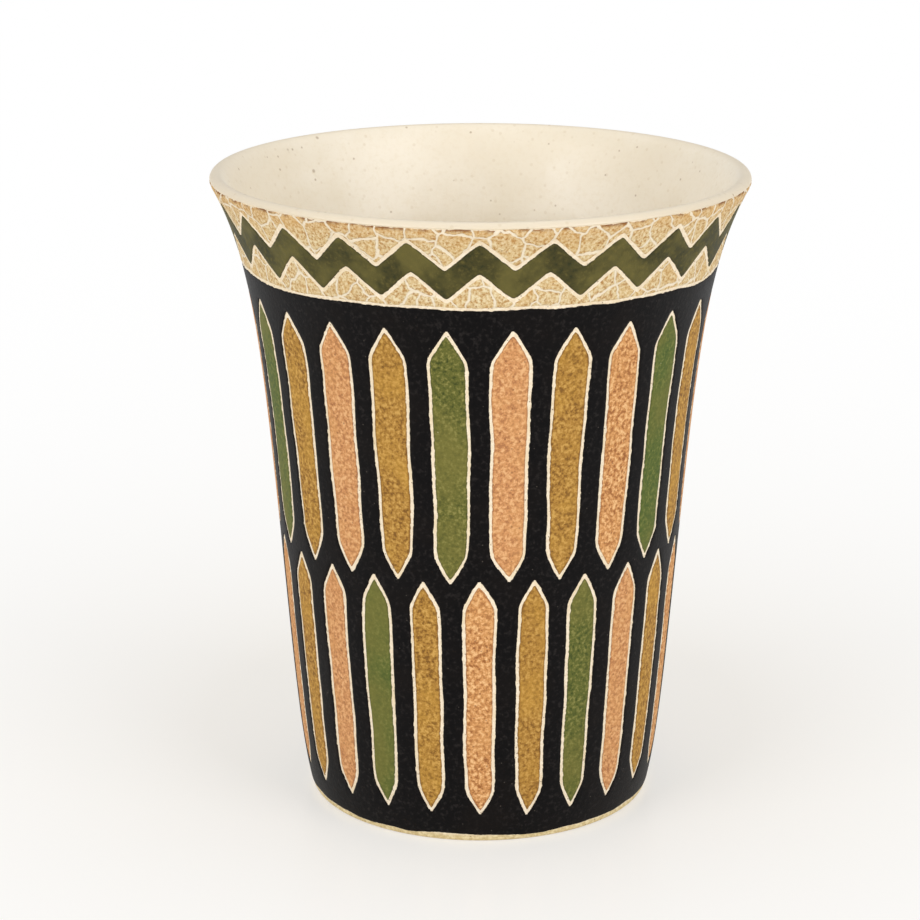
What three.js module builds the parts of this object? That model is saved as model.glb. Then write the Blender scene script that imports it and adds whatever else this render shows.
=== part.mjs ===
// Ceramic tumbler: a turned clay body with a flared lip, lined with pale glaze and decorated
// outside with separate coats of coloured slip, kept apart by lines of bare clay.
// Millimetres, +Z up. The origin is the centre of the foot, and -Y is the front.

import * as THREE from "three";

// Outside form
const HEIGHT = 108.6; // table to the top of the lip
const MOUTH_RADIUS = 45; // outside of the lip
const FOOT_RADIUS = 29.3; // outside of the wall at the table
const FLARE = 6.4; // how far the lip leans out past the straight wall
const FLARE_LENGTH = 13; // height in which the flare dies away
const TUCK = 1.5; // how far the wall draws in at the foot
const TUCK_LENGTH = 9; // height in which the tuck dies away

// Wall, lip, floor and foot ring
const WALL = 3.4; // finished wall away from the lip
const LIP_THICKNESS = 2.3; // half-round lip, measured square to the wall
const LIP_LEAN = (30 * Math.PI) / 180; // lean of the lip, with the flare
const LIP_TAPER = 24; // height in which the wall thins towards the lip
const FLOOR_THICKNESS = 4.5; // clay between the foot recess and the inside
const FLOOR_CORNER = 9; // size of the round corner between floor and wall
const FOOT_RING_WIDTH = 4.5; // flat ring that the cup stands on, with its bevel
const FOOT_RECESS = 1.6; // depth of the recess inside the foot ring
const FOOT_BEVEL = 0.4; // bevel round the outside of the foot
const BARE_FOOT = 1.2; // height of bare clay under the decoration

// Slip and glaze
const COAT = 0.3; // thickness of each coat
const BOND = 0.15; // clearance between a coat and the clay under it
const LINE = 0.6; // bare line round a panel and under the sand band
const LIP_LINE = 0.4; // bare line between the lining glaze and the sand band

// Sand band with its zigzag ribbon, heights measured straight up the wall
const BAND_HEIGHT = 12.4; // sand band, from the lip line down
const RIBBON_HEIGHT = 5; // green ribbon
const RIBBON_LINE = 0.7; // bare line above and below the ribbon
const SAND_MARGIN = 0.8; // least height of sand at the ribbon's turns

// Long hexagonal panels on the black ground
const COLUMNS = 24; // panels round the cup in each row
const POINT_HEIGHT = 8; // pointed end of a panel, before its margins
const GROUND_WIDTH = 3.4; // black between the lines of two neighbours
const TIP_WIDTH = 0.6; // blunt end of a panel
const COLOUR_ORDER = ["salmon", "ochre", "green", "salmon", "ochre", "salmon", "green", "ochre"];
const UPPER_START = 3; // place in the order where the upper row starts

// Fineness of the faceted solids
const TURN_STEPS = 2 * COLUMNS; // facets round the turned pieces
const WALL_STEPS = 15; // rings up the outside of the clay
const INSIDE_STEPS = 7; // rings down the inside wall
const LIP_STEPS = 4; // facets over the lip
const CORNER_STEPS = 3; // facets round the inside corner
const SIDE_STEPS = 3; // facets up the straight sides of a panel

const SETBACK = COAT + BOND;
const LIP_RADIUS = LIP_THICKNESS / 2;
const LIP_CENTRE = HEIGHT - LIP_RADIUS;
const LIP_RISE = LIP_RADIUS * Math.sin(LIP_LEAN); // from the lip's centre to its ends on the wall
const LIP_SPAN = LIP_THICKNESS / Math.cos(LIP_LEAN); // lip measured level
const INSIDE_FLOOR = FOOT_RECESS + FLOOR_THICKNESS + SETBACK;
const PITCH = (2 * Math.PI) / COLUMNS;
const FRONT = -Math.PI / 2;

const BAND_TOP = LIP_CENTRE - LIP_RISE - LIP_LINE;
const BAND_BOTTOM = BAND_TOP - BAND_HEIGHT;
const FIELD_TOP = BAND_BOTTOM - LINE;
const FIELD_BOTTOM = BARE_FOOT;

// Finished outside of the cup: a straight taper, tucked in at the foot and flared up to the round of the lip
function outsideRadius(height) {
  const straightFoot = FOOT_RADIUS + TUCK;
  const straightMouth = MOUTH_RADIUS - LIP_RADIUS + LIP_SPAN / 2 - FLARE;
  const straight = straightFoot + ((straightMouth - straightFoot) * height) / LIP_CENTRE;
  const flare = FLARE * Math.exp((height - LIP_CENTRE) / FLARE_LENGTH);
  return straight + flare - TUCK * Math.exp(-height / TUCK_LENGTH);
}

// Finished inside of the cup, where the wall thins towards the lip
function insideRadius(height) {
  const thinning = (WALL - LIP_SPAN) * Math.exp((height - LIP_CENTRE) / LIP_TAPER);
  return outsideRadius(height) - WALL + thinning;
}

// Heights between two ends, closer together near both
function levels(low, high, steps) {
  const list = [];
  for (let i = 0; i <= steps; i += 1) {
    list.push(low + ((high - low) * (1 - Math.cos((Math.PI * i) / steps))) / 2);
  }
  return list;
}

// The outside, from a height up to the lip, set back into the wall by a depth
function outsideLine(low, depth) {
  const heights = levels(low, LIP_CENTRE - LIP_RISE, WALL_STEPS);
  return heights.map((z) => new THREE.Vector2(outsideRadius(z) - depth, z));
}

// The round of the lip over its top, from outside to inside, between its ends on the wall
function lipLine(depth) {
  const points = [];
  for (let i = 0; i < LIP_STEPS; i += 1) {
    const angle = (Math.PI * i) / LIP_STEPS;
    const radius = LIP_RADIUS - depth;
    const centre = MOUTH_RADIUS - LIP_RADIUS;
    points.push(new THREE.Vector2(centre + radius * Math.cos(angle), LIP_CENTRE + radius * Math.sin(angle)));
  }
  return points;
}

// The inside, from the lip down the wall and round the corner to the middle of the floor
function insideLine(depth) {
  const floor = INSIDE_FLOOR - depth;
  const cornerTop = INSIDE_FLOOR + FLOOR_CORNER;
  const wall = levels(cornerTop, LIP_CENTRE + LIP_RISE, INSIDE_STEPS).reverse();
  const points = wall.map((z) => new THREE.Vector2(insideRadius(z) + depth, z));
  const corner = new THREE.QuadraticBezierCurve(
    points[points.length - 1],
    new THREE.Vector2(insideRadius(INSIDE_FLOOR) + depth, floor),
    new THREE.Vector2(insideRadius(INSIDE_FLOOR) - FLOOR_CORNER, floor),
  );
  return [...points, ...corner.getPoints(CORNER_STEPS).slice(1), new THREE.Vector2(0, floor)];
}

// A piece turned on the wheel: the section goes round the vertical axis
function turned(section) {
  return new THREE.LatheGeometry(section, TURN_STEPS).rotateX(Math.PI / 2).rotateZ(FRONT);
}

// One fired piece: foot ring and recess, outside wall, lip, inside wall and floor
function clayBody() {
  const ringInside = FOOT_RADIUS - FOOT_RING_WIDTH;
  const underside = [
    new THREE.Vector2(0, FOOT_RECESS),
    new THREE.Vector2(ringInside - FOOT_RECESS, FOOT_RECESS),
    new THREE.Vector2(ringInside, 0),
    new THREE.Vector2(FOOT_RADIUS - FOOT_BEVEL, 0),
    new THREE.Vector2(outsideRadius(FOOT_BEVEL), FOOT_BEVEL),
    new THREE.Vector2(outsideRadius(BARE_FOOT), BARE_FOOT),
  ];
  const outside = [...underside, ...outsideLine(BARE_FOOT, SETBACK)];
  return turned([...outside, ...lipLine(SETBACK), ...insideLine(SETBACK)]);
}

// Glaze over the whole inside and the lip, ending where the lip meets the outside
function linerGlaze() {
  const edgeHeight = LIP_CENTRE - LIP_RISE;
  const edge = new THREE.Vector2(outsideRadius(edgeHeight), edgeHeight);
  const edgeBack = new THREE.Vector2(edge.x - COAT, edgeHeight);
  const face = [edge, ...lipLine(0), ...insideLine(0)];
  const back = [edgeBack, ...lipLine(COAT), ...insideLine(COAT)];
  return turned([...back.reverse(), ...face]);
}

// A coat of even thickness on the outside. corner(row, column) gives the angle and the height of
// a grid point, around joins the last column to the first, and open cells are left out.
function coat(rows, columns, corner, around, open) {
  const positions = [];
  const indices = [];
  const pointsAcross = around ? columns : columns + 1;
  for (let row = 0; row <= rows; row += 1) {
    for (let column = 0; column < pointsAcross; column += 1) {
      const [angle, height] = corner(row, column);
      for (const depth of [0, COAT]) {
        const radius = outsideRadius(height) - depth;
        positions.push(radius * Math.cos(angle), radius * Math.sin(angle), height);
      }
    }
  }
  const filled = (row, column) => {
    const inside = row >= 0 && row < rows && (around || (column >= 0 && column < columns));
    return inside && !open(row, (column + columns) % columns);
  };
  const face = (row, column) => 2 * (row * pointsAcross + (column % pointsAcross));
  const quad = (a, b, c, d) => indices.push(a, b, c, a, c, d);
  for (let row = 0; row < rows; row += 1) {
    for (let column = 0; column < columns; column += 1) {
      if (!filled(row, column)) continue;
      const [a, b] = [face(row, column), face(row, column + 1)];
      const [d, c] = [face(row + 1, column), face(row + 1, column + 1)];
      quad(a, b, c, d);
      quad(a + 1, d + 1, c + 1, b + 1);
      if (!filled(row - 1, column)) quad(a + 1, b + 1, b, a);
      if (!filled(row, column + 1)) quad(b + 1, c + 1, c, b);
      if (!filled(row + 1, column)) quad(c + 1, d + 1, d, c);
      if (!filled(row, column - 1)) quad(d + 1, a + 1, a, d);
    }
  }
  const geometry = new THREE.BufferGeometry();
  geometry.setAttribute("position", new THREE.Float32BufferAttribute(positions, 3));
  geometry.setIndex(indices);
  geometry.computeVertexNormals();
  return geometry;
}

const nothingOpen = () => false;

// A ring between two edges, each given as a height for every half pitch round the cup
function ring(lowerEdge, upperEdge) {
  const rows = 2;
  const corner = (row, column) => {
    const low = lowerEdge(column);
    return [FRONT + (column * PITCH) / 2, low + ((upperEdge(column) - low) * row) / rows];
  };
  return coat(rows, TURN_STEPS, corner, true, nothingOpen);
}

// The ribbon's edges rise and fall once for each panel
const ZIGZAG_RISE = BAND_HEIGHT - RIBBON_HEIGHT - 2 * (RIBBON_LINE + SAND_MARGIN);
const RIBBON_BOTTOM = BAND_BOTTOM + SAND_MARGIN + RIBBON_LINE;
const ribbonLower = (column) => RIBBON_BOTTOM + (column % 2 === 0 ? ZIGZAG_RISE : 0);
const ribbonUpper = (column) => ribbonLower(column) + RIBBON_HEIGHT;

// The panels lie on a lattice of long hexagons, two rows high, whose points lock into each other
const PANEL_HEIGHT = (FIELD_TOP - FIELD_BOTTOM + POINT_HEIGHT) / 2;
const panelRows = [
  { name: "lower", bottom: FIELD_BOTTOM, turn: 0 },
  { name: "upper", bottom: FIELD_TOP - PANEL_HEIGHT, turn: PITCH / 2 },
];

// A hexagon of the lattice, drawn in by a margin on every side: the heights of its corners, with
// steps between them up the straight sides, and half of the angle that it spans at a height
function hexagon(row, margin) {
  const top = row.bottom + PANEL_HEIGHT;
  const middleRadius = outsideRadius(row.bottom + PANEL_HEIGHT / 2);
  const slantMargin = margin * Math.hypot(1, (PITCH * middleRadius) / 2 / POINT_HEIGHT);
  const perAngle = POINT_HEIGHT / (PITCH / 2);
  const tip = (perAngle * (TIP_WIDTH / 2 + slantMargin)) / middleRadius;
  const shoulder = POINT_HEIGHT + (perAngle * (slantMargin - margin)) / middleRadius;
  const heights = [row.bottom + tip];
  for (let i = 0; i <= SIDE_STEPS; i += 1) {
    heights.push(row.bottom + shoulder + ((PANEL_HEIGHT - 2 * shoulder) * i) / SIDE_STEPS);
  }
  heights.push(top - tip);
  const halfAngle = (height) => {
    const radius = outsideRadius(height);
    const side = PITCH / 2 - margin / radius;
    const slant = Math.min(height - row.bottom, top - height) / perAngle - slantMargin / radius;
    return Math.max(Math.min(side, slant), TIP_WIDTH / 2 / radius);
  };
  return { heights, halfAngle };
}

// One panel of slip, at the front of the cup
function panel(row) {
  const { heights, halfAngle } = hexagon(row, GROUND_WIDTH / 2 + LINE);
  const corner = (level, side) => [FRONT + (side - 1) * halfAngle(heights[level]), heights[level]];
  return coat(heights.length - 1, 2, corner, false, nothingOpen);
}

// The black ground: round the cup, a window of each row in turn with the black beside it
function blackGround() {
  const windows = panelRows.map((row) => hexagon(row, GROUND_WIDTH / 2));
  const corners = windows.flatMap((window) => window.heights);
  const heights = [FIELD_BOTTOM, ...corners.sort((a, b) => a - b), FIELD_TOP];
  const windowAt = (column) => windows[Math.floor(column / 2) % 2];
  const corner = (level, column) => {
    const side = column % 2 === 0 ? -1 : 1;
    const centre = (Math.floor(column / 2) * PITCH) / 2;
    return [FRONT + centre + side * windowAt(column).halfAngle(heights[level]), heights[level]];
  };
  const open = (level, column) => {
    const window = windowAt(column).heights;
    const above = heights[level] >= window[0];
    return column % 2 === 0 && above && heights[level + 1] <= window[window.length - 1];
  };
  return coat(heights.length - 1, 4 * COLUMNS, corner, true, open);
}

function finish(color, roughness) {
  return new THREE.MeshStandardMaterial({ color, roughness, metalness: 0 });
}

const clay = finish(0xead9b8, 0.9);
const glaze = finish(0xe9dcc2, 0.45);
const sand = finish(0xe1c391, 0.85);
const olive = finish(0x4f5030, 0.7);
const black = finish(0x1c1a1b, 0.6);
const panelSlips = {
  salmon: finish(0xc88c64, 0.8),
  ochre: finish(0xaf8737, 0.75),
  green: finish(0x5f7337, 0.7),
};

const cup = new THREE.Group();

function add(name, geometry, material) {
  const mesh = new THREE.Mesh(geometry, material);
  mesh.name = name;
  cup.add(mesh);
  return mesh;
}

add("clay_body", clayBody(), clay);
add("liner_glaze", linerGlaze(), glaze);
add("sand_band_upper", ring((column) => ribbonUpper(column) + RIBBON_LINE, () => BAND_TOP), sand);
add("green_zigzag", ring(ribbonLower, ribbonUpper), olive);
add("sand_band_lower", ring(() => BAND_BOTTOM, (column) => ribbonLower(column) - RIBBON_LINE), sand);
add("black_ground", blackGround(), black);

panelRows.forEach((row, rowNumber) => {
  const shape = panel(row);
  for (let column = 0; column < COLUMNS; column += 1) {
    const colour = COLOUR_ORDER[(column + rowNumber * UPPER_START) % COLOUR_ORDER.length];
    const number = String(column + 1).padStart(2, "0");
    const mesh = add(`${colour}_panel_${row.name}_${number}`, shape, panelSlips[colour]);
    mesh.rotation.z = column * PITCH + row.turn;
  }
});

export default cup;
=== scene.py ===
import math

import bpy
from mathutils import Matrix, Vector
from mathutils.kdtree import KDTree


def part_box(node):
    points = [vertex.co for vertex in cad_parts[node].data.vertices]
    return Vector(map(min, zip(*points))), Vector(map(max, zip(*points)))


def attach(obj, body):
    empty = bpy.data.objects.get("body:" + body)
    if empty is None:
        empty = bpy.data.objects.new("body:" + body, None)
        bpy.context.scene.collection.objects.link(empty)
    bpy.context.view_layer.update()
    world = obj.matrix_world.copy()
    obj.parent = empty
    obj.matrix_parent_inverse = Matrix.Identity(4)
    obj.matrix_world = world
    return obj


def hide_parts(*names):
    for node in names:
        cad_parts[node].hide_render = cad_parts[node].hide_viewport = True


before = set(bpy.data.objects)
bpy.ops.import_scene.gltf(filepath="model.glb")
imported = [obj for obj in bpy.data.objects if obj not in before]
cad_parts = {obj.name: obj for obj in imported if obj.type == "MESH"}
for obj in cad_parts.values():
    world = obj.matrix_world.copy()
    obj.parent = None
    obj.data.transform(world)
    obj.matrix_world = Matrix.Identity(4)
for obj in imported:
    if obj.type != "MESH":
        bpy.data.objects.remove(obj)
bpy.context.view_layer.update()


# The clay body
# One piece of cream stoneware, turned on the wheel with a flared lip, trimmed to a foot ring and fired.
# It shows bare as the lines between the coats of slip, above the table and underneath.

_, lip_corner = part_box("liner_glaze")
MOUTH_RADIUS = lip_corner.x
HEIGHT = lip_corner.z
LIP_RADIUS = 0.00115
LIP_LEAN = math.radians(30)  # the wall's slope where it meets the round of the lip
LIP_CENTRE = HEIGHT - LIP_RADIUS
LIP_START = LIP_CENTRE - LIP_RADIUS * math.sin(LIP_LEAN)
WALL_AT_LIP = MOUTH_RADIUS - LIP_RADIUS + LIP_RADIUS / math.cos(LIP_LEAN)
LIP_TAPER = 0.024  # the length over which the wall thins towards the lip
LIP_ROLL = 0.006  # how far down the inside the roll of the lip reaches
FLARE = 0.0064
FLARE_LENGTH = 0.013
WALL = 0.0034
TUCK = 0.0015
TUCK_LENGTH = 0.009
FLOOR = 0.00655
FLOOR_CORNER = 0.009
CORNER_PULL = 2 / 3  # how far the inside corner's handles reach towards its bend
CORNER_STEPS = 16
FLOOR_STEPS = 12
FOOT_RADIUS = 0.0293
FOOT_RING = 0.0045
FOOT_RECESS = 0.0016
FOOT_BEVEL = 0.0004
FOOT_ROUND = 0.0006
FOOT_TOP = 4 * FOOT_BEVEL
WALL_BOTTOM = 5 * FOOT_BEVEL
TRIM_PITCH = 0.0021
TRIM_DEPTH = 0.00012
TRIM_REACH = 0.94  # the share of the recess that has trimming rings
TRIM_STEPS = 90
SLIP = 0.00012
GLAZE = 0.00028
GLAZE_ANGLE = math.radians(12)  # the place on the round of the lip where the glaze ends
GLAZE_START = LIP_CENTRE + LIP_RADIUS * math.sin(GLAZE_ANGLE)
FACETS = 288
SEAM_GAP = 1e-7


def wall_radius(height):
    """Finished outside of the wall: a straight taper, flared up to the round of the lip and tucked in at
    the foot."""
    if height > LIP_START:
        return MOUTH_RADIUS - LIP_RADIUS + math.sqrt(LIP_RADIUS ** 2 - (height - LIP_CENTRE) ** 2)
    taper = (WALL_AT_LIP - FLARE - FOOT_RADIUS - TUCK) / LIP_CENTRE
    flare = FLARE * math.exp((height - LIP_CENTRE) / FLARE_LENGTH)
    return FOOT_RADIUS + TUCK + taper * height + flare - TUCK * math.exp(-height / TUCK_LENGTH)


def bore_radius(height):
    """Finished inside of the wall, which thins towards the lip."""
    thinning = WALL - 2 * LIP_RADIUS / math.cos(LIP_LEAN)
    return wall_radius(height) - WALL + thinning * math.exp((height - LIP_CENTRE) / LIP_TAPER)


def spread(low, high, steps):
    """Values from low to high, closer together near both ends."""
    return [low + (high - low) * (1 - math.cos(math.pi * step / steps)) / 2 for step in range(steps + 1)]


def softened(corners, reach, steps=5):
    """A line through the corners as (radius, height), with each corner rounded off within a reach."""
    line = [corners[0]]
    for before, corner, after in zip(corners, corners[1:], corners[2:]):
        turn = Vector(corner)
        way_in = (Vector(before) - turn).normalized() * min(reach, (Vector(before) - turn).length / 2)
        way_out = (Vector(after) - turn).normalized() * min(reach, (Vector(after) - turn).length / 2)
        for step in range(steps + 1):
            part = step / steps
            line.append(tuple(turn + way_in * (1 - part) ** 2 + way_out * part ** 2))
    return line + [corners[-1]]


def bezier(start, first, second, end, steps):
    """Points of a cubic curve after its start."""
    line = []
    for step in range(1, steps + 1):
        part = step / steps
        rest = 1 - part
        near_start = start * rest ** 3 + first * 3 * part * rest ** 2
        line.append(near_start + second * 3 * part ** 2 * rest + end * part ** 3)
    return line


def lip_round(depth, first_angle, steps):
    """The round of the lip a depth below its finished face, from an angle up to its top."""
    radius = LIP_RADIUS - depth
    centre = MOUTH_RADIUS - LIP_RADIUS
    line = []
    for step in range(steps + 1):
        angle = first_angle + (math.pi / 2 - first_angle) * step / steps
        line.append((centre + radius * math.cos(angle), LIP_CENTRE + radius * math.sin(angle)))
    return line


def lip_roll(depth, steps):
    """The long soft roll from the top of the lip down into the bore, on handles of a quarter and a half of
    its height."""
    roll_end = HEIGHT - LIP_ROLL
    start = Vector((MOUTH_RADIUS - LIP_RADIUS, HEIGHT - depth))
    end = Vector((bore_radius(roll_end) + depth, roll_end))
    below = Vector((bore_radius(roll_end - LIP_RADIUS) + depth, roll_end - LIP_RADIUS))
    over_top = start - Vector((LIP_ROLL / 4, 0))
    into_bore = end + (end - below).normalized() * LIP_ROLL / 2
    return [tuple(point) for point in bezier(start, over_top, into_bore, end, steps)]


def bore_line(depth, steps):
    """The inside below the lip: down the wall and round the corner to the middle of the floor."""
    floor = FLOOR - depth
    wall_heights = spread(FLOOR + FLOOR_CORNER, HEIGHT - LIP_ROLL, steps)
    line = [(bore_radius(z) + depth, z) for z in reversed(wall_heights)]
    start = Vector(line[-1])
    bend = Vector((bore_radius(FLOOR) + depth, floor))
    end = Vector((bore_radius(FLOOR) - FLOOR_CORNER, floor))
    corner = bezier(start, start.lerp(bend, CORNER_PULL), end.lerp(bend, CORNER_PULL), end, CORNER_STEPS)
    line += [tuple(point) for point in corner]
    return line[1:] + [(end.x * (1 - step / FLOOR_STEPS), floor) for step in range(1, FLOOR_STEPS + 1)]


def clay_section():
    """The clay from the middle of its underside, round the foot, up the outside and down the inside."""
    recess_edge = FOOT_RADIUS - FOOT_RING - FOOT_RECESS
    rings = []
    for step in range(TRIM_STEPS + 1):
        radius = recess_edge * TRIM_REACH * step / TRIM_STEPS
        cut = TRIM_DEPTH * (1 - math.cos(2 * math.pi * radius / TRIM_PITCH)) / 2
        rings.append((radius, FOOT_RECESS + cut))
    foot = [
        rings[-1],
        (recess_edge, FOOT_RECESS),
        (FOOT_RADIUS - FOOT_RING, 0.0),
        (FOOT_RADIUS - FOOT_BEVEL - SLIP, 0.0),
        (wall_radius(FOOT_BEVEL) - SLIP, FOOT_BEVEL),
        (wall_radius(FOOT_TOP) - SLIP, FOOT_TOP),
    ]
    wall_heights = spread(WALL_BOTTOM, LIP_START, steps=72) + spread(LIP_START, GLAZE_START, steps=8)[1:]
    outside = [(wall_radius(z) - SLIP, z) for z in wall_heights]
    lip = lip_round(GLAZE, GLAZE_ANGLE, steps=5) + lip_roll(GLAZE, steps=12)
    return rings[:-1] + softened(foot, FOOT_ROUND) + outside + lip + bore_line(GLAZE, steps=30)


def put(tree, kind, inputs, **settings):
    """Adds a node with its settings, sets or links its inputs by name or number, and gives its outputs."""
    added = tree.nodes.new(kind)
    for name, value in settings.items():
        setattr(added, name, value)
    for key, value in inputs.items():
        if isinstance(value, bpy.types.NodeSocket):
            tree.links.new(value, added.inputs[key])
        else:
            added.inputs[key].default_value = value
    return added.outputs


def sums(tree, operation, *values):
    """A Math node on numbers or sockets."""
    return put(tree, "ShaderNodeMath", dict(enumerate(values)), operation=operation)[0]


def new_tree(name, inputs):
    """A Geometry Nodes tree with named inputs, and the sockets that carry them."""
    tree = bpy.data.node_groups.new(name, "GeometryNodeTree")
    tree.interface.new_socket("Geometry", in_out="OUTPUT", socket_type="NodeSocketGeometry")
    for title, kind in inputs.items():
        tree.interface.new_socket(title, in_out="INPUT", socket_type=f"NodeSocket{kind}")
    return tree, tree.nodes.new("NodeGroupInput").outputs


def end_tree(tree, shape, finish):
    """The end of a tree: smooth faces, real geometry and the finish."""
    smooth = put(tree, "GeometryNodeSetShadeSmooth", {"Geometry": shape})[0]
    real = put(tree, "GeometryNodeRealizeInstances", {"Geometry": smooth})[0]
    coated = put(tree, "GeometryNodeSetMaterial", {"Geometry": real, "Material": finish})[0]
    put(tree, "NodeGroupOutput", {"Geometry": coated})


def turned_tree():
    """Turns a section, a row of points with radius along X and height along Z, about the vertical axis."""
    tree, given = new_tree("turned_on_the_wheel", {
        "Section": "Geometry", "Facets": "Int", "Finish": "Material",
    })
    points = put(tree, "GeometryNodeAttributeDomainSize", {"Geometry": given["Section"]})["Point Count"]
    around = sums(tree, "ADD", given["Facets"], 1)
    grid = put(tree, "GeometryNodeMeshGrid", {"Vertices X": around, "Vertices Y": points})["Mesh"]
    index = put(tree, "GeometryNodeInputIndex", {})[0]
    row = sums(tree, "MODULO", index, points)
    column = sums(tree, "FLOOR", sums(tree, "DIVIDE", index, points))
    angle = sums(tree, "MULTIPLY", sums(tree, "DIVIDE", column, given["Facets"]), 2 * math.pi)
    place = put(tree, "GeometryNodeInputPosition", {})[0]
    sample = put(
        tree, "GeometryNodeSampleIndex", {"Geometry": given["Section"], "Value": place, "Index": row},
        data_type="FLOAT_VECTOR",
    )[0]
    radius, _, height = put(tree, "ShaderNodeSeparateXYZ", {0: sample})
    turned = put(tree, "ShaderNodeCombineXYZ", {
        "X": sums(tree, "MULTIPLY", radius, sums(tree, "COSINE", angle)),
        "Y": sums(tree, "MULTIPLY", radius, sums(tree, "SINE", angle)),
        "Z": height,
    })[0]
    shape = put(tree, "GeometryNodeSetPosition", {"Geometry": grid, "Position": turned})[0]
    closed = put(tree, "GeometryNodeMergeByDistance", {"Geometry": shape, "Distance": SEAM_GAP})[0]
    end_tree(tree, closed, given["Finish"])
    return tree


def made_by(tree, name, start, inputs):
    """A piece that a tree makes from a starting mesh, kept as a plain mesh at the origin."""
    piece = bpy.data.objects.new(name, start)
    bpy.context.collection.objects.link(piece)
    maker = piece.modifiers.new(tree.name, "NODES")
    maker.node_group = tree
    for item in tree.interface.items_tree:
        if item.in_out == "INPUT" and item.name in inputs:
            maker[item.identifier] = inputs[item.name]
    scene_state = bpy.context.evaluated_depsgraph_get()
    shape = bpy.data.meshes.new_from_object(
        piece.evaluated_get(scene_state), preserve_all_data_layers=True, depsgraph=scene_state
    )
    shape.name = name
    piece.modifiers.clear()
    piece.data = shape
    return piece


def section_mesh(name, line):
    """A section as a row of points with an edge from each to the next."""
    points = [(radius, 0, height) for radius, height in line]
    edges = [(number, number + 1) for number in range(len(line) - 1)]
    mesh = bpy.data.meshes.new(name)
    mesh.from_pydata(points, edges, [])
    return mesh


def fixed_as(piece, node):
    """The piece stands for its CAD node, which it hides, and rides on the root body."""
    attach(piece, "root")
    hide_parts(node)


def colour(red, green, blue):
    """An sRGB colour from 0 to 255, as the linear colour that a socket takes."""
    shares = [channel / 255 for channel in (red, green, blue)]
    return tuple(s / 12.92 if s <= 0.04045 else ((s + 0.055) / 1.055) ** 2.4 for s in shares) + (1.0,)


def new_finish(name):
    """A material with its tree, its main shader's inputs and the place on the cup in metres."""
    finish = bpy.data.materials.new(name)
    finish.use_nodes = True
    tree = finish.node_tree
    tree.nodes.clear()
    shader = tree.nodes.new("ShaderNodeBsdfPrincipled")
    put(tree, "ShaderNodeOutputMaterial", {"Surface": shader.outputs[0]})
    place = put(tree, "ShaderNodeTexCoord", {})["Object"]
    return finish, tree, shader.inputs, place


def grain(tree, place, size, detail=3.0, roughness=0.55):
    """Cloudy variation from 0 to 1, with lumps of about that size."""
    wanted = {"Vector": place, "Scale": 1 / size, "Detail": detail, "Roughness": roughness}
    return put(tree, "ShaderNodeTexNoise", wanted)[0]


def ramp(tree, value, low, high):
    """0 at low and 1 at high, smooth between them and level beyond. It falls where low is the larger."""
    wanted = {"Value": value, "From Min": low, "From Max": high}
    return put(tree, "ShaderNodeMapRange", wanted, interpolation_type="SMOOTHSTEP")[0]


def between(tree, value, low, high):
    """A value from 0 to 1 brought to the range from low to high."""
    return put(tree, "ShaderNodeMapRange", {"Value": value, "To Min": low, "To Max": high})[0]


def tint(tree, share, base, other):
    """One colour over another by a share."""
    mixed = put(tree, "ShaderNodeMix", {0: share, 6: base, 7: other}, data_type="RGBA")
    return mixed[2]


def stained(tree, base, stain, where, strength):
    """A colour with a stain where a share says, at most at that strength."""
    return tint(tree, sums(tree, "MULTIPLY", where, strength), base, stain)


def specks(tree, place, spacing, radius, chosen, core=0.45):
    """Round specks of up to that radius, on a chosen share of the places set out at that spacing. They are
    full within the core's share of the radius."""
    cells = put(tree, "ShaderNodeTexVoronoi", {"Vector": place, "Scale": 1 / spacing})
    luck = put(tree, "ShaderNodeSeparateColor", {0: cells["Color"]})[0]
    inside = ramp(tree, cells["Distance"], low=radius / spacing, high=radius / spacing * core)
    return sums(tree, "MULTIPLY", inside, sums(tree, "LESS_THAN", luck, chosen))


def roughened(tree, height, depth):
    """A bump normal from a height of 0 to 1 and a depth in metres."""
    return put(tree, "ShaderNodeBump", {"Strength": 1.0, "Distance": depth, "Height": height})["Normal"]


CLAY_SHADE = colour(235, 218, 191)
CLAY_LIGHT = colour(249, 238, 218)
CLAY_WARM = colour(236, 218, 184)
TOASTED_SHADE = colour(212, 191, 142)
TOASTED_LIGHT = colour(240, 225, 184)
TOASTED_FROM = 0.0018
TOASTED_FULL = 0.0009
CLAY_PIT = colour(120, 92, 62)


def clay_finish():
    """Dry cream clay with fine grain and small pits, toasted at the foot."""
    finish, tree, shader, place = new_finish("bare_clay")
    fine = grain(tree, place, size=0.0006)
    broad = grain(tree, place, size=0.006)
    pale = tint(tree, ramp(tree, fine, low=0.3, high=0.7), CLAY_SHADE, CLAY_LIGHT)
    warm = tint(tree, ramp(tree, broad, low=0.5, high=0.75), pale, CLAY_WARM)
    height = put(tree, "ShaderNodeSeparateXYZ", {0: place})["Z"]
    at_foot = ramp(tree, height, low=TOASTED_FROM, high=TOASTED_FULL)
    toasted = tint(tree, ramp(tree, fine, low=0.35, high=0.7), TOASTED_SHADE, TOASTED_LIGHT)
    body = tint(tree, at_foot, warm, toasted)
    pits = specks(tree, place, spacing=0.00085, radius=0.00015, chosen=0.55)
    pitted = stained(tree, body, CLAY_PIT, pits, strength=0.75)
    tree.links.new(pitted, shader["Base Color"])
    tree.links.new(between(tree, fine, low=0.75, high=0.95), shader["Roughness"])
    shader["Specular IOR Level"].default_value = 0.3
    tree.links.new(roughened(tree, sums(tree, "SUBTRACT", fine, pits), depth=0.00006), shader["Normal"])
    return finish


turned_on_wheel = turned_tree()
clay_body = made_by(
    turned_on_wheel, "turned_clay", section_mesh("clay_section", clay_section()),
    {"Facets": FACETS, "Finish": clay_finish()},
)
fixed_as(clay_body, "clay_body")


# The lining glaze
# A thin satin cream glaze poured round the inside and over the lip, where it ends just above the widest
# point of the rim. Iron in the clay comes through it as sparse brown specks.

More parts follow.
